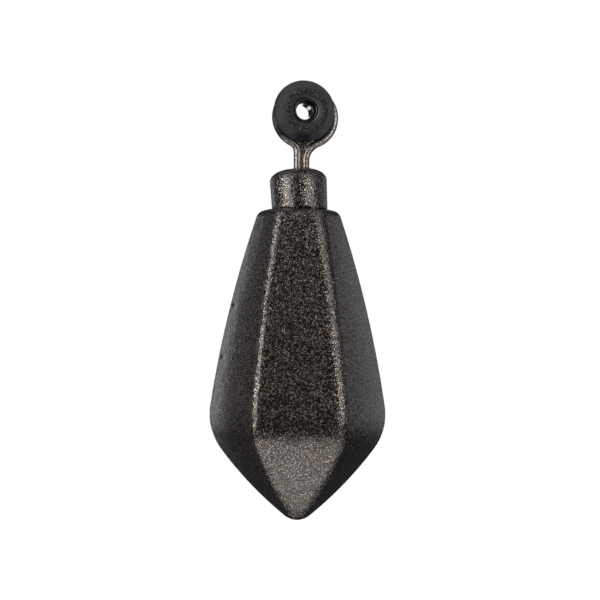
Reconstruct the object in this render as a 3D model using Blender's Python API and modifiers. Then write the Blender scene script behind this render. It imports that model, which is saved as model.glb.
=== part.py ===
"""Hexagonal cast plumb bob: coated weight, neck collar, bent wire eye, and a lined grommet that turns in it.

Run it with blender --background --python part.py, or from Blender's text editor.
The origin is the middle of the line eye's bore, +Z is up, and the weight hangs below. Its front flank faces -Y.
"""

import math

import bmesh
import bpy
from mathutils import Matrix, Vector

MM = 0.001  # lengths below are in millimetres, and angles in degrees

# Weight: a hexagon in plan. Its corner line is a chain of tangent arcs, drawn upwards from the flat on its tip.
SIDES = 6
BODY_AXIS = (-0.56, -0.42)  # X and Y of the weight's axis
TIP_Z = -58.0
TIP_FLAT_R = 0.45
CORNER_ARCS = (  # radius, heading from the vertical where it ends, number of steps
    (2.8, 51.0, 4),  # blunt tip
    (52.8, 36.6, 4),  # lower flank
    (8.1, -8.5, 7),  # girdle
    (160.0, -18.4, 7),  # barrelled upper flank
    (1.4, -74.0, 4),  # shoulder
)
EDGE_FILLET = 1.4  # radius of the six long edges
EDGE_STEPS = 3
LAND_R = 4.15  # the flat land that the collar stands on

# Collar: a short sleeve with a domed top. It leans a little, and its foot is cut level.
COLLAR_X = 0.14  # its foot's centre, from the weight's axis
COLLAR_LEAN = 3.3  # its top leans towards -X
COLLAR_FOOT_R = 3.97
COLLAR_TOP_R = 4.07
COLLAR_WALL_H = 3.85  # from its foot to the start of the dome
COLLAR_DOME_H = 1.78
COLLAR_TOP_FLAT_R = 1.15
COLLAR_SPARE = 0.6  # extra length below the foot, which the level cut takes off
DOME_STEPS = 5

# Wire eye: one wire, drawn in the plane of its loop. U is across and V is up, both from the bore's centre.
WIRE_D = 1.10
LEFT, RIGHT = -1, 1
LOOP_R = 3.96  # to the wire's centre line, in each half of the oval loop
LOOP_CENTER_V = -0.75
LOOP_CENTER_U = {LEFT: 0.02, RIGHT: 0.59}
LEGS_U = -0.26  # middle of the two legs
LEG_PITCH = 1.15
BEND_R = {LEFT: 1.62, RIGHT: 2.85}  # where each leg turns into the loop
NECK_V = -7.3  # below this the legs run straight down
TAIL_V = {LEFT: -23.5, RIGHT: -22.3}  # where the tails leave the legs, inside the weight
TAIL_BEND_R = 2.0
TAIL_SPLAY = 32.0
TAIL_LENGTH = 5.5
WEB_V = (-7.9, -4.22)  # foot and top of the brazed web that closes the eye between its legs
WEB_T = 0.72
LOOP_STEPS = 15  # in each half
BEND_STEPS = 5
EYE_YAW = 9.2  # the loop's front turns towards +X
EYE_TILT = 3.0  # and its top leans back

# Grommet and liner, turned about the bore's axis: radius, and distance T from the middle plane
GROOVE_R = 2.50
GROOVE_T = 0.70
FRONT_FLANGE_R = 4.41
REAR_FLANGE_R = 4.00
FLANGE_T = 1.35
BOSS_R = 3.12
BOSS_T = 2.45
BOSS_FACE_R = (2.50, 2.85)  # the flat ring on the boss
LINER_R = 1.90
LINER_T = 2.20
BORE_WAIST_R = 1.15
BORE_FRONT_R = 1.48  # the front mouth flares more than the rear one
BORE_REAR_R = 1.19
BORE_STEPS = 6
TURN_STEPS = 28

# Gaps between the pieces
CAST_GAP = 0.16  # round the wire, in the weight and in the collar
SEAT_GAP = 0.10  # under the collar
LINER_GAP = 0.10  # round the liner


def clear_scene():
    for obj in list(bpy.data.objects):
        bpy.data.objects.remove(obj)


def new_collection(name):
    collection = bpy.data.collections.new(name)
    bpy.context.scene.collection.children.link(collection)
    return collection


def new_material(name, color, roughness, metallic):
    material = bpy.data.materials.new(name)
    material.use_nodes = True
    shader = material.node_tree.nodes["Principled BSDF"]
    shader.inputs["Base Color"].default_value = (*color, 1.0)
    shader.inputs["Roughness"].default_value = roughness
    shader.inputs["Metallic"].default_value = metallic
    return material


def new_object(name, data, collection, material=None):
    obj = bpy.data.objects.new(name, data)
    collection.objects.link(obj)
    if material:
        data.materials.append(material)
    return obj


def arc(center, radius, start, end, steps):
    """Points along an arc, angles in radians, with both of its ends."""
    angles = [start + (end - start) * i / steps for i in range(steps + 1)]
    return [(center[0] + radius * math.cos(a), center[1] + radius * math.sin(a)) for a in angles]


def turned(name, profile, closed, collection, material):
    """A solid of revolution about Z. The profile is (radius, height), down the outer side."""
    bm = bmesh.new()
    verts = [bm.verts.new((radius * MM, 0, height * MM)) for radius, height in profile]
    for a, b in zip(verts, verts[1:]):
        bm.edges.new((a, b))
    if closed:
        bm.edges.new((verts[-1], verts[0]))
    mesh = bpy.data.meshes.new(name)
    bm.to_mesh(mesh)
    bm.free()
    obj = new_object(name, mesh, collection, material)
    screw = obj.modifiers.new("turn", "SCREW")
    screw.steps = screw.render_steps = TURN_STEPS
    screw.use_merge_vertices = True
    screw.merge_threshold = 0.01 * MM
    screw.use_smooth_shade = True
    return obj


def cut(obj, cutter):
    boolean = obj.modifiers.new(f"cut_{cutter.name}", "BOOLEAN")
    boolean.operation = "DIFFERENCE"
    boolean.object = cutter


def hide_cutter(obj):
    obj.hide_render = True
    obj.display_type = "WIRE"


# ---- weight


def corner_line():
    """(radius, height) along a long edge, from the flat on the tip up to the land under the collar."""
    radius, height = TIP_FLAT_R, 0.0
    heading = math.acos(TIP_FLAT_R / CORNER_ARCS[0][0])
    points = [(radius, height)]
    for arc_radius, end_heading, steps in CORNER_ARCS:
        turn = (heading - math.radians(end_heading)) / steps
        chord = 2 * arc_radius * math.sin(turn / 2)
        for _ in range(steps):
            radius += chord * math.sin(heading - turn / 2)
            height += chord * math.cos(heading - turn / 2)
            heading -= turn
            points.append((radius, height))
    points.append((LAND_R, height + (LAND_R - radius) / math.tan(heading)))
    return points


LAND_Z = TIP_Z + corner_line()[-1][1]


def rounded_hexagon(corner_radius, height):
    """One section of the weight: a hexagon with a corner on +X, its corners rounded by the edge fillet."""
    fillet = min(EDGE_FILLET, 0.45 * corner_radius)
    half_side = math.pi / SIDES
    ring = []
    for side in range(SIDES):
        middle = 2 * half_side * side
        reach = corner_radius - fillet
        center = (reach * math.cos(middle), reach * math.sin(middle))
        corner = arc(center, fillet, middle - half_side, middle + half_side, EDGE_STEPS)
        ring += [Vector((x, y, height)) * MM for x, y in corner]
    return ring


def loft(name, rings):
    """A closed mesh through rings of the same number of points, with a flat face at each end."""
    bm = bmesh.new()
    loops = [[bm.verts.new(point) for point in ring] for ring in rings]
    for lower, upper in zip(loops, loops[1:]):
        for i in range(len(lower)):
            bm.faces.new((lower[i - 1], lower[i], upper[i], upper[i - 1]))
    bm.faces.new(reversed(loops[0]))
    bm.faces.new(loops[-1])
    mesh = bpy.data.meshes.new(name)
    bm.to_mesh(mesh)
    bm.free()
    return mesh


def make_weight(collection, material, leg_cutters):
    sections = [rounded_hexagon(radius, height) for radius, height in corner_line()]
    mesh = loft("weight_body", sections)
    mesh.shade_smooth()
    mesh.set_sharp_from_angle(angle=math.radians(32))
    weight = new_object("weight_body", mesh, collection, material)
    weight.location = Vector((*BODY_AXIS, TIP_Z)) * MM
    for cutter in leg_cutters:
        cut(weight, cutter)


# ---- wire eye


def leg_u(side):
    return LEGS_U + side * LEG_PITCH / 2


def tail(side, spare=0.0):
    """(u, v) from the end of a splayed tail up to the foot of its leg."""
    u, splay = leg_u(side), math.radians(TAIL_SPLAY)
    start = math.pi if side == RIGHT else 0.0
    elbow_center = (u + side * TAIL_BEND_R, TAIL_V[side])
    elbow = arc(elbow_center, TAIL_BEND_R, start, start + side * splay, BEND_STEPS)
    reach = TAIL_LENGTH + spare
    end = (elbow[-1][0] + side * reach * math.sin(splay), elbow[-1][1] - reach * math.cos(splay))
    return [end] + elbow[::-1]


def bend_and_half_loop(side):
    """(u, v) from the top of a leg, round the bend that is tangent to leg and loop, up to the top of the loop."""
    loop_u = LOOP_CENTER_U[side]
    bend_u = leg_u(side) + side * BEND_R[side]
    drop = math.sqrt((LOOP_R + BEND_R[side]) ** 2 - (bend_u - loop_u) ** 2)
    leg_angle = math.pi if side == RIGHT else 0.0
    meeting = math.atan2(drop, loop_u - bend_u)
    bend = arc((bend_u, LOOP_CENTER_V - drop), BEND_R[side], leg_angle, meeting, BEND_STEPS)
    loop_start = meeting + math.pi if side == LEFT else meeting - math.pi
    half_loop = arc((loop_u, LOOP_CENTER_V), LOOP_R, loop_start, math.pi / 2, LOOP_STEPS)
    return bend + half_loop[1:]


def eye_point(u, v):
    """A point of the eye's plane, in the row frame. Below the neck the legs run straight down."""
    tilt, tilted_v = math.radians(EYE_TILT), max(v, NECK_V)
    point = Vector((u, tilted_v * math.sin(tilt), tilted_v * math.cos(tilt) + v - tilted_v))
    return Matrix.Rotation(math.radians(EYE_YAW), 3, "Z") @ point * MM


def round_bar(name, points, diameter, collection, material=None):
    """A closed round bar along (u, v) points of the eye's plane."""
    curve = bpy.data.curves.new(name, "CURVE")
    curve.dimensions = "3D"
    curve.bevel_depth = diameter / 2 * MM
    curve.bevel_resolution = 2
    curve.use_fill_caps = True
    spline = curve.splines.new("POLY")
    spline.points.add(len(points) - 1)
    for knot, (u, v) in zip(spline.points, points):
        knot.co = (*eye_point(u, v), 1.0)
    path = new_object(name, curve, collection)
    evaluated = path.evaluated_get(bpy.context.evaluated_depsgraph_get())
    mesh = bpy.data.meshes.new_from_object(evaluated)
    bpy.data.objects.remove(path)
    bm = bmesh.new()
    bm.from_mesh(mesh)
    bmesh.ops.remove_doubles(bm, verts=bm.verts, dist=0.001 * MM)
    bm.to_mesh(mesh)
    bm.free()
    return new_object(name, mesh, collection, material)


def make_web(cutters):
    """The braze between the legs, up to the loop. Its sides lie inside the wire, on its centre line."""
    foot, top = WEB_V
    half_chord = math.sqrt(LOOP_R**2 - (top - LOOP_CENTER_V) ** 2)
    edges = {}
    for side in (LEFT, RIGHT):
        bend = [point for point in bend_and_half_loop(side) if point[1] < top]
        edges[side] = [(leg_u(side), foot)] + bend + [(LOOP_CENTER_U[side] + side * half_chord, top)]
    outline = edges[LEFT] + edges[RIGHT][::-1]
    lean = Matrix.Rotation(math.radians(EYE_YAW), 3, "Z") @ Matrix.Rotation(math.radians(-EYE_TILT), 3, "X")
    half = lean @ Vector((0, WEB_T / 2, 0)) * MM
    rings = [[eye_point(u, v) + offset for u, v in outline] for offset in (half, -half)]
    web = new_object("leg_web", loft("leg_web", rings), cutters)
    hide_cutter(web)
    return web


def make_wire(collection, material, cutters):
    left, right = (tail(side) + bend_and_half_loop(side) for side in (LEFT, RIGHT))
    wire = round_bar("wire_eye", left + right[::-1], WIRE_D, collection, material)
    wire.data.shade_smooth()
    boolean = wire.modifiers.new("braze", "BOOLEAN")
    boolean.operation = "UNION"
    boolean.object = make_web(cutters)


def make_leg_cutter(side, collection):
    """The channel for one leg and its tail, from inside the weight to just above the collar."""
    points = tail(side, spare=CAST_GAP) + [(leg_u(side), NECK_V)]
    name = "leg_channel_" + ("left" if side == LEFT else "right")
    cutter = round_bar(name, points, WIRE_D + 2 * CAST_GAP, collection)
    hide_cutter(cutter)
    return cutter


# ---- collar


def collar_profile():
    dome_span = COLLAR_TOP_R - COLLAR_TOP_FLAT_R
    dome = [
        (COLLAR_TOP_FLAT_R + dome_span * x, COLLAR_WALL_H + COLLAR_DOME_H * y)
        for x, y in arc((0, 0), 1.0, math.pi / 2, 0.0, DOME_STEPS)
    ]
    return [(0, dome[0][1])] + dome + [(COLLAR_FOOT_R, -COLLAR_SPARE), (0, -COLLAR_SPARE)]


def make_collar(collection, material, cutters, leg_cutters):
    collar = turned("neck_collar", collar_profile(), False, collection, material)
    foot = Vector((BODY_AXIS[0] + COLLAR_X, BODY_AXIS[1], LAND_Z + SEAT_GAP)) * MM
    collar.location = foot
    collar.rotation_euler = (0, math.radians(-COLLAR_LEAN), 0)
    size = 4 * COLLAR_TOP_R * MM
    bpy.ops.mesh.primitive_cube_add(size=size, location=foot - Vector((0, 0, size / 2)))
    level = bpy.context.object
    level.name = "collar_foot_level"
    bpy.context.collection.objects.unlink(level)
    cutters.objects.link(level)
    hide_cutter(level)
    for cutter in (level, *leg_cutters):
        cut(collar, cutter)


# ---- grommet and liner


def mirrored(points):
    return [(radius, -t) for radius, t in reversed(points)]


def grommet_half(flange_r):
    """From the bore's edge over the boss and the flange to the bottom of the groove, with T > 0."""
    seat_r = LINER_R + LINER_GAP
    return [
        (seat_r, LINER_T),
        (seat_r + 0.3, BOSS_T - 0.06),
        (BOSS_FACE_R[0], BOSS_T),
        (BOSS_FACE_R[1], BOSS_T),
        (BOSS_R, BOSS_T - 0.2),
        (BOSS_R + 0.08, BOSS_T - 0.6),
        (flange_r - 0.6, FLANGE_T + 0.25),
        (flange_r - 0.18, FLANGE_T),
        (flange_r, FLANGE_T - 0.24),
        (flange_r, GROOVE_T + 0.18),
        (flange_r - 0.15, GROOVE_T),
        (GROOVE_R + 0.2, GROOVE_T),
        (GROOVE_R, GROOVE_T - 0.2),
    ]


def liner_half(mouth_r):
    """From the bore's waist to its mouth, over the end face and down to the outer wall, with T > 0."""
    flare, mouth_t = mouth_r - BORE_WAIST_R, LINER_T - 0.06
    steps = [i / BORE_STEPS for i in range(1, BORE_STEPS + 1)]
    bore = [(BORE_WAIST_R + flare * s**3, mouth_t * s) for s in steps]
    return bore + [(mouth_r + 0.1, LINER_T), (LINER_R - 0.1, LINER_T), (LINER_R, LINER_T - 0.1)]


def make_grommet(collection, grommet_material, liner_material):
    """Both pieces turn on the bore's axis, which is the hinge's: their parent empty carries its direction."""
    axis = new_object("bore_axis", None, collection)
    axis.rotation_euler = (math.radians(90 - EYE_TILT), 0, math.radians(EYE_YAW))
    grommet_profile = grommet_half(FRONT_FLANGE_R) + mirrored(grommet_half(REAR_FLANGE_R))
    liner_profile = liner_half(BORE_FRONT_R) + mirrored(liner_half(BORE_REAR_R))
    turned("eye_grommet", grommet_profile, True, collection, grommet_material).parent = axis
    turned("grommet_liner", liner_profile, True, collection, liner_material).parent = axis


def build():
    clear_scene()
    parts = new_collection("plumb_bob")
    cutters = new_collection("cutters")
    coating = new_material("flecked_coating", (0.075, 0.068, 0.062), 0.38, 0.55)
    bronze = new_material("bronze_wire", (0.30, 0.24, 0.18), 0.32, 1.0)
    black = new_material("matte_black", (0.018, 0.018, 0.019), 0.62, 0.0)
    polished = new_material("polished_black", (0.010, 0.010, 0.011), 0.12, 0.0)
    leg_cutters = [make_leg_cutter(side, cutters) for side in (LEFT, RIGHT)]
    make_weight(parts, coating, leg_cutters)
    make_collar(parts, coating, cutters, leg_cutters)
    make_wire(parts, bronze, cutters)
    make_grommet(parts, black, polished)


build()
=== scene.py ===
"""Visual model of the plumb bob: a cast lead weight in a flecked coat, a bronze wire eye and a black grommet.

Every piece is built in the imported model's frame. Lengths are in millimetres until a mesh is made, and angles
in degrees, unless a comment says otherwise.
"""

import math

import bpy
import numpy as np
from mathutils import Matrix, Vector, noise


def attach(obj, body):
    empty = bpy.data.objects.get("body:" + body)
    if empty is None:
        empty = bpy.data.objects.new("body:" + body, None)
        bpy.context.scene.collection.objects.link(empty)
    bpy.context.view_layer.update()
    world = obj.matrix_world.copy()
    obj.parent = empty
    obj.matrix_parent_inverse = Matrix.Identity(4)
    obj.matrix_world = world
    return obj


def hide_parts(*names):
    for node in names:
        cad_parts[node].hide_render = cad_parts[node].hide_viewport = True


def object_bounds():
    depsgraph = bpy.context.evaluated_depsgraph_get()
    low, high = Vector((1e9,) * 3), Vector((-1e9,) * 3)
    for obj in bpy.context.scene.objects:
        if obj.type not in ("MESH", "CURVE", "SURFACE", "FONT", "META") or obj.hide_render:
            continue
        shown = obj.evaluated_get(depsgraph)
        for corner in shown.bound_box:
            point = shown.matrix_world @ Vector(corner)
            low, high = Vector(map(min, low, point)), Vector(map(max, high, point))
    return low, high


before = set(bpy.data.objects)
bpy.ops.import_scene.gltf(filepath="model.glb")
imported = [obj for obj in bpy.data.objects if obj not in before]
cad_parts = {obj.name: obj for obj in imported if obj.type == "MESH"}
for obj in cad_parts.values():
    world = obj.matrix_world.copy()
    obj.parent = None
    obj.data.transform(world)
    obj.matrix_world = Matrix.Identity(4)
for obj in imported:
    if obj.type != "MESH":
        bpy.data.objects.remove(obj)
CAD_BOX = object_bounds()

MM = 0.001

# Weight, as the CAD has it: a hexagon in plan, with a chain of tangent arcs for its corner line
SIDES = 6
TURN = 2 * math.pi / SIDES  # radians
BODY_AXIS = (-0.56, -0.42)
TIP_Z = -58.0
TIP_FLAT_R = 0.45
CORNER_ARCS = (  # radius, heading from the vertical where it ends
    (2.8, 51.0),
    (52.8, 36.6),
    (8.1, -8.5),
    (160.0, -18.4),
    (1.4, -74.0),
)
LAND_R = 4.15
CAD_FILLET = 1.4
# The six long edges from +X round: fillet radius. The front ones are the fifth and the sixth.
EDGE_FILLETS = (1.4, 1.7, 1.3, 1.4, 1.25, 2.3)
# The six flanks from the first edge round: how far each is crowned. The front flank is the fifth.
FLANK_CROWNS = (0.28, 0.0, 0.30, 0.26, 0.0, 0.30)
CROWNED_W = 11.0  # a flank this wide has its full crown
LEVEL_STEP = 0.19
FILLET_STEPS = 12
FLANK_STEPS = 28
LEFT_FRONT_EDGE = 240
BEADS = ((-26.9, 0.5), (-27.9, 0.42), (-28.9, 0.5), (-30.1, 0.34))  # Z and size, on the left front edge
BEAD_H = 0.10
PITS = ((-9.69, -27.6), (-11.25, -34.9))  # X and Z on the left flank
PIT_R = 0.20
PIT_DEPTH = 0.13
BUMPY_EDGE_W = (0.5, 0.9)  # the coat is bumpy up to the first distance from an edge, and even past the second

# Collar
COLLAR_X = 0.14
COLLAR_LEAN = 3.3
COLLAR_FOOT_R = 3.97
COLLAR_TOP_R = 4.07
COLLAR_WALL_H = 3.85
COLLAR_DOME_H = 1.78
COLLAR_TOP_FLAT_R = 1.15
SEAT_GAP = 0.10  # under the CAD's collar, which stands this much above the land
FOOT_EDGE_H = 0.12  # where the wall starts to turn in, above the land
# How far in and how far down the foot's turn goes. It ends just inside the weight.
FOOT_TURN = ((0.0, 0.0), (0.01, 0.05), (0.05, 0.10), (0.12, 0.13), (0.4, 0.14), (1.2, 0.14), (2.4, 0.14))
TOP_FLAT_STEPS = 8
WALL_STEPS = 28
COLLAR_COLUMNS = 168
COAT_CLIMB_H = 0.16  # the coat's fillet round the legs
COAT_CLIMB_W = 0.22
COLLAR_BUMPY = 0.8

# Wire eye
WIRE_D = 1.10
WIRE_STEP = 0.14
WIRE_SIDES = 32
LEFT, RIGHT = -1, 1
LOOP_R = 3.96
LOOP_CENTER_V = -0.75
LOOP_CENTER_U = {LEFT: 0.02, RIGHT: 0.59}
LEGS_U = -0.26
LEG_PITCH = 1.15
BEND_R = {LEFT: 1.62, RIGHT: 2.85}
NECK_V = -7.3
TAIL_V = {LEFT: -23.5, RIGHT: -22.3}
TAIL_BEND_R = 2.0
TAIL_SPLAY = 32.0
TAIL_LENGTH = 5.5
ELBOW_STEP = 0.20
BEND_STEP = 0.12
WEB_V = (-8.6, -4.22)  # the braze between the legs
WEB_REACH_U = 3.2  # the wire's stretch beside the braze lies within this
WEB_CORE_W = 0.45  # half the width of its thicker middle
WEB_CORE_T = 0.42  # half the thickness there
WEB_SIDE_T = 0.30  # and half of it beside that
WEB_LEVELS = 60
WEB_COLUMNS = 25
EYE_YAW = 9.2
EYE_TILT = 3.0

# Grommet and liner: radius from the bore's axis and distance from the middle plane
GROOVE_R = 2.50
GROOVE_T = 0.61
FRONT_FLANGE_R = 4.41
REAR_FLANGE_R = 4.00
FLANGE_T = 1.35
BOSS_R = 3.12
BOSS_T = 2.45
BOSS_FACE_R = (2.50, 2.85)
PITTED_R = (2.22, 3.22)  # the pitted ring on the boss
PITTED_FADE = (0.16, 0.22)
PITTED_FROM_T = 1.2
PITTED_RAGGED = ((0.12, 0.9, 6.0),)  # how far its edges wander, as a layer of unevenness
PITTED_DEPTH = 0.12
GROMMET_STEP = 0.075
GROMMET_COLUMNS = 256
LINER_R = 1.90
LINER_T = 2.20
LINER_LIP_R = 0.10
LINER_STEP = 0.14
LINER_COLUMNS = 160
BORE_WAIST_R = 1.15
BORE_FRONT_R = 1.48
BORE_REAR_R = 1.19

# Unevenness of each surface, in layers: height, size and a seed
WEIGHT_PEEL = ((0.007, 2.3, 0.0), (0.0022, 0.8, 5.0))
COLLAR_PEEL = ((0.006, 1.5, 0.0), (0.002, 0.6, 3.0))
WIRE_DENTS = ((0.008, 0.8, 0.0), (0.005, 0.22, 9.0))
WIRE_INSET = 0.001
BRAZE_GRAIN = ((0.035, 0.30, 4.0), (0.025, 0.13, 8.0))
GROMMET_WAVES = ((0.006, 0.9, 0.0),)
LINER_WAVES = ((0.002, 0.7, 0.0),)
LINER_INSET = 0.005

# Softboxes, aimed at the bob: azimuth, elevation, width and radiance. Azimuth is from the camera's side,
# positive to the right.
SOFTBOXES = {
    "left_softbox": (-49.5, 2, 0.42, 4.0),
    "left_upper_softbox": (-49.5, 32, 0.42, 2.1),
    "right_softbox": (46, 2, 0.35, 2.6),
    "right_upper_softbox": (46, 32, 0.35, 0.95),
}
SOFTBOX_HEIGHT = 0.33  # metres, as their widths and their distance
SOFTBOX_DISTANCE = 0.60
SOFTBOX_COLOR = (1.0, 0.975, 0.965)
LAMP_DIRECTION = (-0.368, 0.910, -0.191)  # a small bright patch, behind the bob and low at the left
FLOOR_SIZE = 8.0  # metres, as its height
FLOOR_Z = -0.5

# Camera: level, a little to the left of the front, with a slight roll
CAMERA_AIM = (-0.30, -0.42, -26.76)
CAMERA_DISTANCE = 284.5
CAMERA_YAW = 1.8
CAMERA_ROLL = 0.33
CAMERA_LENS = 120.0
CAMERA_SENSOR = 36.0


# ---- meshes


def grid_mesh(name, rows, caps=(False, False), wrap_rows=False):
    """A piece from a (rows, columns, 3) array in millimetres.

    The columns close round, and with wrap_rows so do the rows. A cap fans from an end row to its middle.
    """
    count, width, _ = rows.shape
    verts = rows.reshape(-1, 3)
    i = np.arange(count if wrap_rows else count - 1)[:, None]
    j = np.arange(width)[None, :]
    upper = (i + 1) % count
    right = (j + 1) % width
    corners = (i * width + j, i * width + right, upper * width + right, upper * width + j)
    faces = np.stack(np.broadcast_arrays(*corners), -1).reshape(-1, 4).tolist()
    for wanted, row, flip in zip(caps, (0, count - 1), (True, False)):
        if wanted:
            middle = len(verts)
            verts = np.vstack([verts, rows[row].mean(0)])
            edge = [row * width + k for k in range(width)]
            fans = [(a, b, middle) for a, b in zip(edge, edge[1:] + edge[:1])]
            faces += [fan[::-1] if flip else fan for fan in fans]
    mesh = bpy.data.meshes.new(name)
    mesh.from_pydata((verts * MM).tolist(), [], faces)
    mesh.update()
    mesh.shade_smooth()
    obj = bpy.data.objects.new(name, mesh)
    bpy.context.scene.collection.objects.link(obj)
    return obj


def displace(obj, depth_at):
    """Moves each vertex along its normal by depth_at(point, normal), but not out of the CAD's box."""
    low, high = (np.array(corner) for corner in CAD_BOX)
    mesh = obj.data
    moved = []
    for vertex in mesh.vertices:
        point, normal = vertex.co / MM, Vector(vertex.normal)
        moved.append(vertex.co + normal * depth_at(point, normal) * MM)
    mesh.vertices.foreach_set("co", np.clip(np.array(moved), low, high).ravel())
    mesh.update()


def paint(obj, name, value_at):
    """Stores value_at(point) on each vertex, for the piece's material to read."""
    layer = obj.data.attributes.new(name, "FLOAT", "POINT")
    for vertex, value in zip(obj.data.vertices, layer.data):
        value.value = value_at(vertex.co / MM)


def arc(center, radius, start, end, step):
    """Points along an arc no further apart than step, angles in radians, with both of its ends."""
    count = max(2, math.ceil(abs(end - start) * radius / step))
    angles = np.linspace(start, end, count + 1)
    return [(center[0] + radius * math.cos(a), center[1] + radius * math.sin(a)) for a in angles]


def spaced(points, step, closed=False):
    """The same polyline with its points no further apart than step."""
    points = list(points) + ([points[0]] if closed else [])
    out = []
    for a, b in zip(points, points[1:]):
        a, b = np.array(a, float), np.array(b, float)
        count = max(1, math.ceil(np.linalg.norm(b - a) / step))
        out += [a + (b - a) * k / count for k in range(count)]
    if not closed:
        out.append(np.array(points[-1], float))
    return np.array(out)


def softened(points, rounds=2, closed=False):
    """Corner cutting, which rounds a polyline's corners."""
    pts = np.array(points, float)
    for _ in range(rounds):
        nxt = np.roll(pts, -1, 0) if closed else pts[1:]
        cur = pts if closed else pts[:-1]
        cut = np.stack([cur * 0.75 + nxt * 0.25, cur * 0.25 + nxt * 0.75], 1).reshape(-1, pts.shape[1])
        pts = cut if closed else np.vstack([pts[:1], cut[1:-1], pts[-1:]])
    return pts


def peel(point, size, seed=0.0):
    """Smooth bumps about size millimetres across, from -1 to 1."""
    return noise.noise(Vector(point) / size + Vector((seed, seed * 0.7, -seed)))


def uneven(point, layers):
    """Layers of bumps, each a height, a size and a seed."""
    return sum(height * peel(point, size, seed) for height, size, seed in layers)


# ---- weight


def corner_line(step):
    """(radius, height) along a long edge, from the tip's flat up to the land under the collar."""
    radius, height = TIP_FLAT_R, 0.0
    heading = math.acos(TIP_FLAT_R / CORNER_ARCS[0][0])
    points = [(radius * k / 4, 0.0) for k in range(1, 4)] + [(radius, height)]
    for arc_radius, end_heading in CORNER_ARCS:
        end = math.radians(end_heading)
        steps = max(2, math.ceil(abs(heading - end) * arc_radius / step))
        turn = (heading - end) / steps
        chord = 2 * arc_radius * math.sin(turn / 2)
        for _ in range(steps):
            radius += chord * math.sin(heading - turn / 2)
            height += chord * math.cos(heading - turn / 2)
            heading -= turn
            points.append((radius, height))
    land = (LAND_R, height + (LAND_R - radius) / math.tan(heading))
    points += [tuple(p) for p in spaced([(radius, height), land], 3 * step)[1:]]
    return points


LAND_Z = TIP_Z + corner_line(LEVEL_STEP)[-1][1]


def flank_ring(corner_radius):
    """One level of the weight in plan: six filleted corners, and flanks with their crown."""
    apothem_scale = math.cos(TURN / 2)
    widest = 0.45 * corner_radius  # no fillet is larger than this near the tip
    # a larger fillet keeps the flanks where they are, so it cuts more off the corner
    cad_fillet = min(CAD_FILLET, widest)
    apothem = (corner_radius - cad_fillet) * apothem_scale + cad_fillet
    corners = []
    for side in range(SIDES):
        middle = TURN * side
        fillet = min(EDGE_FILLETS[side], widest)
        reach = (apothem - fillet) / apothem_scale
        centre = np.array((reach * math.cos(middle), reach * math.sin(middle)))
        angles = np.linspace(middle - TURN / 2, middle + TURN / 2, FILLET_STEPS + 1)
        corners.append(centre + fillet * np.stack([np.cos(angles), np.sin(angles)], 1))
    t = np.linspace(0, 1, FLANK_STEPS + 1)[1:-1, None]
    points = []
    for side in range(SIDES):
        a, b = corners[side][-1], corners[(side + 1) % SIDES][0]
        facing = TURN * (side + 0.5)
        normal = np.array((math.cos(facing), math.sin(facing)))
        crown = FLANK_CROWNS[side] * min(np.linalg.norm(b - a) / CROWNED_W, 1.0) ** 2
        points += [corners[side], a + (b - a) * t + normal * crown * (4 * t * (1 - t))]
    return np.vstack(points)


def around_axis(point):
    """A point's angle round the weight's axis, in radians, and its distance from it."""
    x, y = point.x - BODY_AXIS[0], point.y - BODY_AXIS[1]
    return math.atan2(y, x) % (2 * math.pi), math.hypot(x, y)


def make_weight():
    per_level = SIDES * (FILLET_STEPS + FLANK_STEPS)
    levels = corner_line(LEVEL_STEP)
    rows = np.array([np.column_stack([flank_ring(r), np.full(per_level, h)]) for r, h in levels])
    rows += np.array((*BODY_AXIS, TIP_Z))
    weight = grid_mesh("weight_skin", rows, caps=(True, True))

    def edge_share(point):
        """1 on the six long edges, 0 on the flanks."""
        angle, radius = around_axis(point)
        off_edge = abs((angle + TURN / 2) % TURN - TURN / 2) * radius
        near, far = BUMPY_EDGE_W
        return min(max((far - off_edge) / (far - near), 0.0), 1.0)

    def depth(point, normal):
        out = uneven(point, WEIGHT_PEEL)
        if normal.y < 0:
            for x, z in PITS:
                away = ((point.x - x) ** 2 + (point.z - z) ** 2) / PIT_R**2
                out -= PIT_DEPTH * math.exp(-away)
        angle, radius = around_axis(point)
        off_edge = abs(angle - math.radians(LEFT_FRONT_EDGE)) * radius
        if off_edge < 1.5:  # no bead reaches further
            for z, size in BEADS:
                away = (off_edge**2 + (point.z - z) ** 2) / (size * 0.55) ** 2
                out += BEAD_H * math.exp(-away)
        return out

    paint(weight, "bumpy", edge_share)
    displace(weight, depth)
    return weight


# ---- collar


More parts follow.
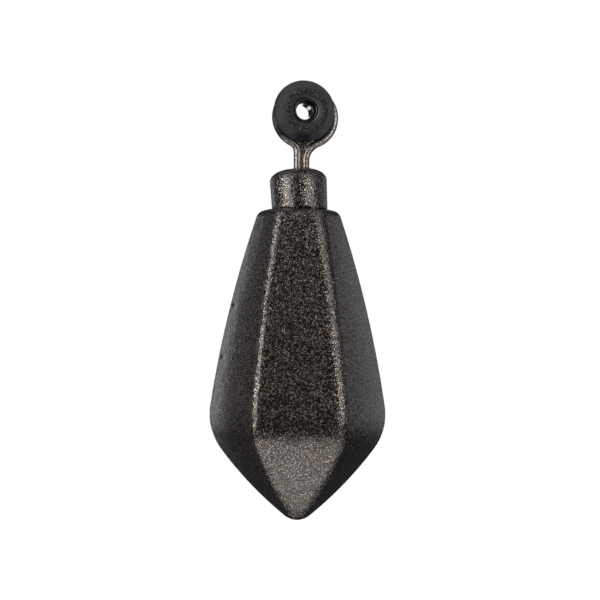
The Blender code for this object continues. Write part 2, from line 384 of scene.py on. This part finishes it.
def make_collar():
    lean = Matrix.Rotation(math.radians(-COLLAR_LEAN), 3, "Y")
    foot = Vector((BODY_AXIS[0] + COLLAR_X, BODY_AXIS[1], LAND_Z))
    angles = [2 * math.pi * k / COLLAR_COLUMNS for k in range(COLLAR_COLUMNS)]
    around = [Vector((math.cos(a), math.sin(a), 0)) for a in angles]
    wall_top = COLLAR_WALL_H + SEAT_GAP
    span = COLLAR_TOP_R - COLLAR_TOP_FLAT_R
    dome = [
        (COLLAR_TOP_FLAT_R + span * x, wall_top + COLLAR_DOME_H * y)
        for x, y in arc((0, 0), 1.0, math.pi / 2, 0.0, 0.05)
    ]
    flat = [(COLLAR_TOP_FLAT_R * k / TOP_FLAT_STEPS, dome[0][1]) for k in range(1, TOP_FLAT_STEPS)]

    def leaning(out, radius, height):
        return lean @ (out * radius + Vector((0, 0, height))) + foot

    rows = [[leaning(out, radius, height) for out in around] for radius, height in flat + dome]
    # down the wall to the level foot, where it turns in under itself
    wall = [(step / WALL_STEPS, 0.0, 0.0) for step in range(1, WALL_STEPS + 1)]
    for share, inward, lower in wall + [(1.0, *turn) for turn in FOOT_TURN]:
        radius = COLLAR_TOP_R + (COLLAR_FOOT_R - COLLAR_TOP_R) * share - inward
        ring = []
        for out in around:
            drop = (lean @ (out * COLLAR_FOOT_R)).z / math.cos(math.radians(COLLAR_LEAN))
            ring.append(leaning(out, radius, wall_top + (FOOT_EDGE_H - drop - wall_top) * share - lower))
        rows.append(ring)
    collar = grid_mesh("neck_collar_skin", np.array(rows)[::-1], caps=(True, True))

    legs = [eye_point(LEGS_U + side * LEG_PITCH / 2, NECK_V - 1) for side in (LEFT, RIGHT)]

    def depth(point, normal):
        out = uneven(point, COLLAR_PEEL)
        if normal.z > 0.5:  # the dome, where the coat climbs a little round the wire
            away = min(math.hypot(point.x - leg.x, point.y - leg.y) for leg in legs) - WIRE_D / 2
            out += COAT_CLIMB_H * math.exp(-max(away, 0.0) / COAT_CLIMB_W)
        return out

    paint(collar, "bumpy", lambda point: COLLAR_BUMPY)
    displace(collar, depth)
    return collar


# ---- wire eye


def eye_point(u, v):
    """A point of the eye's plane. Below the neck the legs run straight down."""
    tilt, tilted_v = math.radians(EYE_TILT), max(v, NECK_V)
    point = Vector((u, tilted_v * math.sin(tilt), tilted_v * math.cos(tilt) + v - tilted_v))
    return Matrix.Rotation(math.radians(EYE_YAW), 3, "Z") @ point


def half_wire(side):
    """(u, v) from the end of a splayed tail up its leg, round the bend and the half loop to the top."""
    leg_u = LEGS_U + side * LEG_PITCH / 2
    splay = math.radians(TAIL_SPLAY)
    inner = math.pi if side == RIGHT else 0.0
    elbow_center = (leg_u + side * TAIL_BEND_R, TAIL_V[side])
    elbow = arc(elbow_center, TAIL_BEND_R, inner, inner + side * splay, ELBOW_STEP)
    u, v = elbow[-1]
    end = (u + side * TAIL_LENGTH * math.sin(splay), v - TAIL_LENGTH * math.cos(splay))
    loop_u = LOOP_CENTER_U[side]
    bend_u = leg_u + side * BEND_R[side]
    drop = math.sqrt((LOOP_R + BEND_R[side]) ** 2 - (bend_u - loop_u) ** 2)
    meeting = math.atan2(drop, loop_u - bend_u)
    bend = arc((bend_u, LOOP_CENTER_V - drop), BEND_R[side], inner, meeting, BEND_STEP)
    start = meeting + math.pi if side == LEFT else meeting - math.pi
    loop = arc((loop_u, LOOP_CENTER_V), LOOP_R, start, math.pi / 2, BEND_STEP)
    return [end] + elbow[::-1] + bend + loop[1:]


def make_wire():
    path = spaced(half_wire(LEFT) + half_wire(RIGHT)[::-1], WIRE_STEP)
    points = np.array([eye_point(u, v) for u, v in path])
    along = np.gradient(points, axis=0)
    along /= np.linalg.norm(along, axis=1)[:, None]
    face = np.array(Matrix.Rotation(math.radians(EYE_YAW), 3, "Z") @ Vector((0, -1, 0)))
    across = np.cross(along, face)
    across /= np.linalg.norm(across, axis=1)[:, None]
    out = np.cross(across, along)
    angles = np.linspace(0, 2 * math.pi, WIRE_SIDES, endpoint=False)[None, :, None]
    rows = points[:, None] + WIRE_D / 2 * (np.cos(angles) * across[:, None] + np.sin(angles) * out[:, None])
    wire = grid_mesh("wire_eye_drawn", rows, caps=(True, True))
    displace(wire, lambda point, normal: -WIRE_INSET - uneven(point, WIRE_DENTS))
    return wire


def make_web():
    """The braze that fills the crotch and the crevice between the legs, almost flush with them."""
    levels = np.linspace(*WEB_V, WEB_LEVELS)
    edges = {}
    for side in (LEFT, RIGHT):
        # from well below the braze, where the leg is straight, to just above it
        near = [(u, v) for u, v in half_wire(side) if abs(u) < WEB_REACH_U]
        us, vs = zip(*[(u, v) for u, v in near if WEB_V[0] - 6 < v < WEB_V[1] + 0.3])
        edges[side] = np.interp(levels, vs, us)
    front = np.array(bore_frame() @ Vector((0, 0, 1)))
    across = np.linspace(0, 1, WEB_COLUMNS)
    rows = []
    for v, left, right in zip(levels, edges[LEFT], edges[RIGHT]):
        u = left + (right - left) * across
        half_t = np.where(np.abs(u - (left + right) / 2) < WEB_CORE_W, WEB_CORE_T, WEB_SIDE_T)[:, None]
        middle = np.array([eye_point(a, v) for a in u])
        rows.append(np.vstack([middle + front * half_t, (middle - front * half_t)[::-1]]))
    web = grid_mesh("eye_braze", np.array(rows), caps=(True, True))
    displace(web, lambda point, normal: uneven(point, BRAZE_GRAIN))
    return web


# ---- grommet and liner


def bore_frame():
    """Turns a lathe's Z to the bore's axis, out of the front."""
    yaw = Matrix.Rotation(math.radians(EYE_YAW), 3, "Z")
    return yaw @ Matrix.Rotation(math.radians(90 - EYE_TILT), 3, "X")


def lathe(name, profile, columns):
    """A closed turned piece about the bore's axis from a closed (radius, T) profile."""
    angles = np.linspace(0, 2 * math.pi, columns, endpoint=False)
    radius, t = profile[:, 0][:, None], profile[:, 1][:, None]
    local = np.stack(np.broadcast_arrays(radius * np.cos(angles), radius * np.sin(angles), t), -1)
    rows = local @ np.array(bore_frame()).T
    return grid_mesh(name, rows, wrap_rows=True)


def grommet_half(flange_r):
    """Half of the grommet's profile, from the liner over the boss and the flange to the groove, T > 0."""
    return [
        (LINER_R - 0.05, LINER_T - 0.25),
        (LINER_R - 0.05, LINER_T - 0.06),
        (LINER_R + 0.01, LINER_T - 0.01),
        (LINER_R + 0.16, LINER_T + 0.08),
        (BOSS_FACE_R[0] - 0.05, BOSS_T),
        (BOSS_FACE_R[1], BOSS_T),
        (BOSS_R, BOSS_T - 0.13),
        (BOSS_R + 0.28, BOSS_T - 0.36),
        (flange_r - 0.62, FLANGE_T + 0.42),
        (flange_r - 0.24, FLANGE_T + 0.08),
        (flange_r, FLANGE_T - 0.24),
        (flange_r, GROOVE_T + 0.12),
        (flange_r - 0.12, GROOVE_T),
        (GROOVE_R + 0.2, GROOVE_T),
        (GROOVE_R, GROOVE_T - 0.2),
    ]


def mirrored(points):
    return [(radius, -t) for radius, t in reversed(points)]


def make_grommet():
    profile = grommet_half(FRONT_FLANGE_R) + mirrored(grommet_half(REAR_FLANGE_R))
    profile = spaced(softened(profile, 3, closed=True), GROMMET_STEP, closed=True)
    grommet = lathe("eye_grommet_moulded", profile, GROMMET_COLUMNS)
    to_bore = bore_frame().transposed()

    def boss_share(point):
        """1 on the pitted ring of the boss, 0 elsewhere."""
        local = to_bore @ point
        radius, t = math.hypot(local.x, local.y), abs(local.z)
        radius += uneven(point, PITTED_RAGGED)
        inner, outer = (radius - PITTED_R[0]) / PITTED_FADE[0], (PITTED_R[1] - radius) / PITTED_FADE[1]
        return min(max(min(inner, outer, (t - PITTED_FROM_T) / 0.1), 0.0), 1.0)

    def depth(point, normal):
        pits = max(0.0, peel(point, 0.16, 2.0)) + 0.7 * max(0.0, peel(point, 0.33, 7.0))
        return uneven(point, GROMMET_WAVES) - PITTED_DEPTH * boss_share(point) * pits

    paint(grommet, "pitted", boss_share)
    displace(grommet, depth)
    return grommet


def liner_half(mouth_r):
    """Half of the liner's profile, from the bore's waist to its mouth and over the end, T > 0."""
    flare, lip_t = mouth_r - BORE_WAIST_R, LINER_T - LINER_LIP_R
    bore = [(BORE_WAIST_R + flare * s**3, lip_t * s) for s in np.linspace(0.04, 1, 24)]
    lip = arc((mouth_r + LINER_LIP_R, lip_t), LINER_LIP_R, math.pi, math.pi / 2, 0.02)
    side = [(LINER_R - 0.02, LINER_T - 0.01), (LINER_R, LINER_T - 0.03), (LINER_R, LINER_T - 0.4)]
    return bore + lip[1:] + side


def make_liner():
    profile = spaced(liner_half(BORE_FRONT_R) + mirrored(liner_half(BORE_REAR_R)), LINER_STEP, closed=True)
    liner = lathe("grommet_liner_turned", profile, LINER_COLUMNS)
    displace(liner, lambda point, normal: -LINER_INSET - uneven(point, LINER_WAVES))
    return liner


# ---- materials


class Tree:
    """Short calls for building a node tree."""

    def __init__(self, owner):
        owner.use_nodes = True
        self.nodes, self.links = owner.node_tree.nodes, owner.node_tree.links
        self.nodes.clear()

    def add(self, kind, inputs=None, output=0, **settings):
        """A new node's output. Inputs are values, or other nodes' outputs to link."""
        made = self.nodes.new("ShaderNode" + kind)
        for name, value in settings.items():
            setattr(made, name, value)
        for name, value in (inputs or {}).items():
            socket = made.inputs[name]
            if isinstance(value, bpy.types.NodeSocket):
                self.links.new(value, socket)
            else:
                socket.default_value = value
        return made.outputs[output] if len(made.outputs) else made

    def math(self, operation, a, b=0.0):
        return self.add("Math", {0: a, 1: b}, operation=operation)

    def plus(self, a, b):
        return self.math("ADD", a, b)

    def times(self, a, b):
        return self.math("MULTIPLY", a, b)

    def vector(self, operation, a, b=(0, 0, 0)):
        second = "Scale" if operation == "SCALE" else 1
        return self.add("VectorMath", {0: a, second: b}, operation=operation)

    def step(self, value, low, high):
        """0 below low, 1 above high, smooth between."""
        settings = {"Value": value, "From Min": low, "From Max": high, "To Min": 0.0, "To Max": 1.0}
        return self.add("MapRange", settings, interpolation_type="SMOOTHSTEP")

    def fade(self, value, low, high):
        """1 below low, 0 above high, smooth between."""
        return self.math("SUBTRACT", 1.0, self.step(value, low, high))

    def band(self, value, rise, fall):
        """1 between a rising and a falling edge, each a pair of values."""
        return self.times(self.step(value, *rise), self.fade(value, *fall))

    def spread(self, value, at_zero, at_one):
        """A value from 0 to 1, taken to the range from at_zero to at_one."""
        return self.add("MapRange", {"Value": value, "To Min": at_zero, "To Max": at_one})

    def centered(self, value, height):
        """A value from 0 to 1, made to lie evenly about zero with this height in all."""
        return self.times(self.math("SUBTRACT", value, 0.5), height)

    def mix(self, share, a, b):
        return self.add("Mix", {0: share, 6: a, 7: b}, output=2, data_type="RGBA")

    def ramp(self, value, stops):
        made = self.nodes.new("ShaderNodeValToRGB")
        elements = made.color_ramp.elements
        while len(elements) < len(stops):
            elements.new(0.5)
        for element, (place, color) in zip(elements, stops):
            element.position, element.color = place, (*color, 1.0)
        self.links.new(value, made.inputs[0])
        return made.outputs[0]

    def noise(self, where, scale, detail):
        return self.add("TexNoise", {"Vector": where, "Scale": scale, "Detail": detail})

    def bump(self, height, distance):
        """The surface's normal with bumps of this distance, in millimetres."""
        return self.add("Bump", {"Height": height, "Distance": distance * MM, "Strength": 1.0})

    def painted(self, name):
        """What paint() has stored on the piece."""
        return self.add("Attribute", attribute_name=name, output=2)


def new_material(name):
    """A material's tree, the place on its piece in millimetres, and a function that finishes it."""
    material = bpy.data.materials.new(name)
    tree = Tree(material)
    place = tree.vector("SCALE", tree.add("TexCoord", output=3), 1 / MM)

    def finish(**inputs):
        values = {key.replace("_", " "): value for key, value in inputs.items()}
        shader = tree.add("BsdfPrincipled", values)
        tree.add("OutputMaterial", {"Surface": shader})
        return material

    return tree, place, finish


def flecked_coating():
    """Brown-black hammer coat: metal flecks at random angles under a smooth, slightly rippled clear film."""
    tree, place, finish = new_material("flecked_coating_look")
    cells = tree.add("TexVoronoi", {"Vector": place, "Scale": 14.0, "Randomness": 1.0}, output=1)
    flecks = tree.ramp(
        tree.add("SeparateColor", {0: cells}),
        (
            (0.0, (0.006, 0.0044, 0.0032)),
            (0.50, (0.022, 0.0165, 0.0123)),
            (0.76, (0.058, 0.0455, 0.0355)),
            (0.89, (0.225, 0.194, 0.163)),
            (0.97, (0.93, 0.87, 0.80)),
        ),
    )
    cloud = tree.noise(place, 0.33, 3.0)
    tint = tree.mix(tree.step(cloud, 0.38, 0.62), (0.98, 0.915, 0.845, 1), (0.93, 0.935, 0.95, 1))
    color = tree.add("Mix", {0: 1.0, 6: flecks, 7: tint}, output=2, data_type="RGBA", blend_type="MULTIPLY")
    lumps = tree.centered(tree.noise(place, 3.0, 1.0), tree.times(tree.painted("bumpy"), 5.5))
    ripple = tree.bump(tree.plus(tree.noise(place, 0.95, 1.5), lumps), 0.020)
    own_way = tree.vector("SUBTRACT", cells, (0.5, 0.5, 0.5))

    def tilted(amount):
        """The rippled normal, turned each fleck's own way."""
        return tree.vector("NORMALIZE", tree.vector("ADD", ripple, tree.vector("SCALE", own_way, amount)))

    return finish(
        Base_Color=color,
        Metallic=0.95,
        Roughness=tree.spread(tree.noise(place, 2.3, 3.0), 0.26, 0.38),
        Normal=tilted(0.34),
        Coat_Weight=1.0,
        Coat_Roughness=0.11,
        Coat_IOR=1.52,
        Coat_Normal=tilted(0.06),
    )


def bronze_wire():
    """Drawn bronze with fine scratches: warm on its legs, greyer on the loop, dark on the loop's left."""
    tree, place, finish = new_material("bronze_wire_look")
    x, _, height = tree.add("SeparateXYZ", {0: place}).node.outputs
    patches = tree.noise(place, 1.3, 4.0)
    spots = tree.step(tree.noise(place, 4.5, 3.0), 0.52, 0.64)
    warm = tree.mix(spots, (0.30, 0.262, 0.230, 1), (0.13, 0.104, 0.086, 1))
    grey = tree.mix(spots, (0.40, 0.385, 0.375, 1), (0.16, 0.15, 0.145, 1))
    from_left = tree.step(tree.plus(x, tree.centered(patches, 2.5)), -3.0, -1.6)
    grey = tree.mix(from_left, (0.045, 0.044, 0.046, 1), grey)
    loop = tree.step(tree.plus(height, tree.centered(patches, 5.0)), -5.2, -2.6)
    scratches = tree.noise(tree.vector("MULTIPLY", place, (9.0, 9.0, 0.8)), 1.0, 3.0)
    return finish(
        Base_Color=tree.mix(loop, warm, grey),
        Metallic=1.0,
        Roughness=tree.spread(patches, 0.20, 0.42),
        Normal=tree.bump(tree.plus(scratches, tree.times(spots, 0.6)), 0.02),
    )


def braze():
    """Braze between the legs: dark and rough, with bright grains."""
    tree, place, finish = new_material("braze_look")
    grains = tree.noise(place, 5.0, 3.0)
    color = tree.mix(tree.step(grains, 0.50, 0.66), (0.050, 0.040, 0.034, 1), (0.34, 0.30, 0.27, 1))
    return finish(Base_Color=color, Metallic=0.9, Roughness=0.42, Normal=tree.bump(grains, 0.06))


def matte_black():
    """Moulded black rubber with a fine grain, with painted light that makes it lighter at its right and top,
    and with specks on the pitted ring that are painted glints.
    """
    tree, place, finish = new_material("matte_black_look")
    x, _, height = tree.add("SeparateXYZ", {0: place}).node.outputs
    pitted = tree.painted("pitted")
    wear = tree.step(tree.noise(place, 0.8, 4.0), 0.4, 0.7)
    plain = tree.mix(wear, (0.009, 0.0088, 0.0108, 1), (0.018, 0.0175, 0.021, 1))
    # painted light: the rubber's colour is made lighter towards its right and top, where more light falls
    right_painted_light = tree.step(tree.plus(x, tree.centered(wear, 0.9)), 1.2, 3.9)
    top_painted_light = tree.times(tree.step(height, 2.2, 3.8), 0.45)
    painted_light = tree.math("MINIMUM", tree.plus(right_painted_light, top_painted_light), 1.0)
    plain = tree.mix(painted_light, plain, (0.060, 0.059, 0.064, 1))
    # painted glints: rubbed is the pitted ring's colour, near black with bright specks painted where light
    # glints on its pits, which the mesh also shapes
    painted_glints = tree.step(tree.noise(place, 5.0, 4.0), 0.53, 0.64)
    rubbed = tree.mix(painted_glints, (0.004, 0.004, 0.0045, 1), (0.11, 0.11, 0.12, 1))
    grain = tree.noise(place, 6.0, 4.0)
    # less shine towards the bottom and on the pitted ring
    bottom = tree.step(tree.math("SUBTRACT", tree.times(wear, 0.5), height), 2.7, 3.6)
    bottom = tree.times(bottom, tree.fade(tree.math("ABSOLUTE", x), 0.6, 1.6))
    dulled = tree.math("MAXIMUM", bottom, tree.times(pitted, 0.5))
    return finish(
        Base_Color=tree.mix(pitted, plain, rubbed),
        Roughness=tree.spread(grain, 0.46, 0.68),
        Specular_IOR_Level=tree.spread(dulled, 0.5, 0.12),
        Normal=tree.bump(grain, 0.035),
    )


def polished_black():
    """Polished black, faintly clouded where the line has rubbed."""
    tree, place, finish = new_material("polished_black_look")
    rub = tree.noise(place, 2.0, 3.0)
    color = tree.mix(rub, (0.004, 0.004, 0.0045, 1), (0.008, 0.008, 0.009, 1))
    roughness = tree.spread(rub, 0.05, 0.14)
    return finish(Base_Color=color, Roughness=roughness, IOR=1.9, Normal=tree.bump(rub, 0.004))


# ---- studio


def make_world():
    """What the object reflects: walls at both sides, a backdrop, a lamp, a ceiling and a bright table."""
    world = bpy.data.worlds.new("studio")
    bpy.context.scene.world = world
    tree = Tree(world)
    toward = tree.add("TexCoord")
    x, y, z = tree.add("SeparateXYZ", {0: toward}).node.outputs
    sideways, down = tree.math("ABSOLUTE", x), tree.times(z, -1.0)

    left_wall = tree.times(tree.band(y, (0.578, 0.590), (0.72, 0.86)), 0.95)
    right_wall = tree.times(tree.band(y, (-0.40, -0.20), (0.80, 0.93)), 0.19)
    right_wall = tree.plus(right_wall, tree.times(tree.band(y, (0.42, 0.62), (0.80, 0.93)), 0.12))
    at_right = tree.step(x, -0.05, 0.05)
    walls = tree.add("Mix", {0: at_right, 2: left_wall, 3: right_wall}, data_type="FLOAT")
    walls = tree.times(walls, tree.band(z, (-0.36, -0.04), (0.22, 0.42)))

    backdrop = tree.times(tree.step(y, 0.972, 0.985), 1.6)
    near_lamp = tree.add("VectorMath", {0: toward, 1: LAMP_DIRECTION}, output=1, operation="DOT_PRODUCT")
    lamp = tree.times(tree.step(near_lamp, 0.992, 0.996), 2.0)
    wings = tree.times(tree.step(sideways, 0.12, 0.40), tree.fade(y, -0.1, 0.3))
    ceiling = tree.times(tree.step(z, 0.50, 0.75), tree.plus(0.20, tree.times(wings, 0.8)))
    white = tree.plus(walls, tree.plus(tree.plus(backdrop, lamp), ceiling))
    light = tree.vector("ADD", tree.vector("SCALE", (0.98, 0.97, 1.05), white), (0.035, 0.035, 0.038))

    table = tree.times(tree.step(down, 0.48, 0.80), tree.fade(y, 0.0, 0.35))
    light = tree.mix(table, light, (1.25, 1.215, 1.20, 1))
    shown = tree.mix(tree.add("LightPath"), light, (1.0, 1.0, 1.0, 1))  # the camera sees plain white
    tree.add("OutputWorld", {"Surface": tree.add("Background", {"Color": shown, "Strength": 1.0})})


def make_floor():
    """A pale floor well below the bob, which hangs. It takes soft shadows and isn't reflected."""
    bpy.ops.mesh.primitive_plane_add(size=FLOOR_SIZE, location=(0, 0, FLOOR_Z))
    floor = bpy.context.object
    floor.name = "floor"
    material = bpy.data.materials.new("pale_floor")
    tree = Tree(material)
    shade = tree.add("BsdfDiffuse", {"Color": (0.8, 0.8, 0.8, 1)})
    glow = tree.add("Emission", {"Color": (1, 1, 1, 1), "Strength": 0.97})
    tree.add("OutputMaterial", {"Surface": tree.add("AddShader", {0: shade, 1: glow})})
    floor.data.materials.append(material)
    floor.visible_diffuse = floor.visible_glossy = floor.visible_transmission = False


def make_softbox(name, azimuth, elevation, width, radiance):
    """A rectangular light aimed at the bob."""
    a, e = math.radians(azimuth), math.radians(elevation)
    out = Vector((math.sin(a) * math.cos(e), -math.cos(a) * math.cos(e), math.sin(e)))
    lamp = bpy.data.lights.new(name, "AREA")
    lamp.shape, lamp.size, lamp.size_y = "RECTANGLE", width, SOFTBOX_HEIGHT
    lamp.energy = radiance * math.pi * width * SOFTBOX_HEIGHT
    lamp.color = SOFTBOX_COLOR
    obj = bpy.data.objects.new(name, lamp)
    obj.location = Vector(CAMERA_AIM) * MM + out * SOFTBOX_DISTANCE
    obj.rotation_mode = "QUATERNION"
    obj.rotation_quaternion = out.to_track_quat("Z", "Y")
    bpy.context.scene.collection.objects.link(obj)


def make_camera():
    yaw, roll = math.radians(CAMERA_YAW), math.radians(CAMERA_ROLL)
    ahead = Vector((math.sin(yaw), math.cos(yaw), 0))
    side = Vector((math.cos(yaw), -math.sin(yaw), 0))
    up = Vector((0, 0, 1))
    right = side * math.cos(roll) + up * math.sin(roll)
    top = up * math.cos(roll) - side * math.sin(roll)
    data = bpy.data.cameras.new("camera")
    data.lens, data.sensor_width = CAMERA_LENS, CAMERA_SENSOR
    data.clip_start, data.clip_end = 0.01, 20.0
    camera = bpy.data.objects.new("camera", data)
    location = (Vector(CAMERA_AIM) - ahead * CAMERA_DISTANCE) * MM
    camera.matrix_world = Matrix.Translation(location) @ Matrix((right, top, -ahead)).transposed().to_4x4()
    bpy.context.scene.collection.objects.link(camera)
    bpy.context.scene.camera = camera


def dress(piece, body, node, material):
    piece.data.materials.append(material)
    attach(piece, body)
    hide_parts(node)


coating = flecked_coating()
dress(make_weight(), "bob", "weight_body", coating)
dress(make_collar(), "bob", "neck_collar", coating)
bronze = bronze_wire()
dress(make_wire(), "bob", "wire_eye", bronze)
dress(make_web(), "bob", "wire_eye", braze())
dress(make_grommet(), "grommet", "eye_grommet", matte_black())
dress(make_liner(), "grommet", "grommet_liner", polished_black())

make_world()
make_floor()
for softbox, setting in SOFTBOXES.items():
    make_softbox(softbox, *setting)
make_camera()
bpy.context.scene.view_settings.view_transform = "Standard"
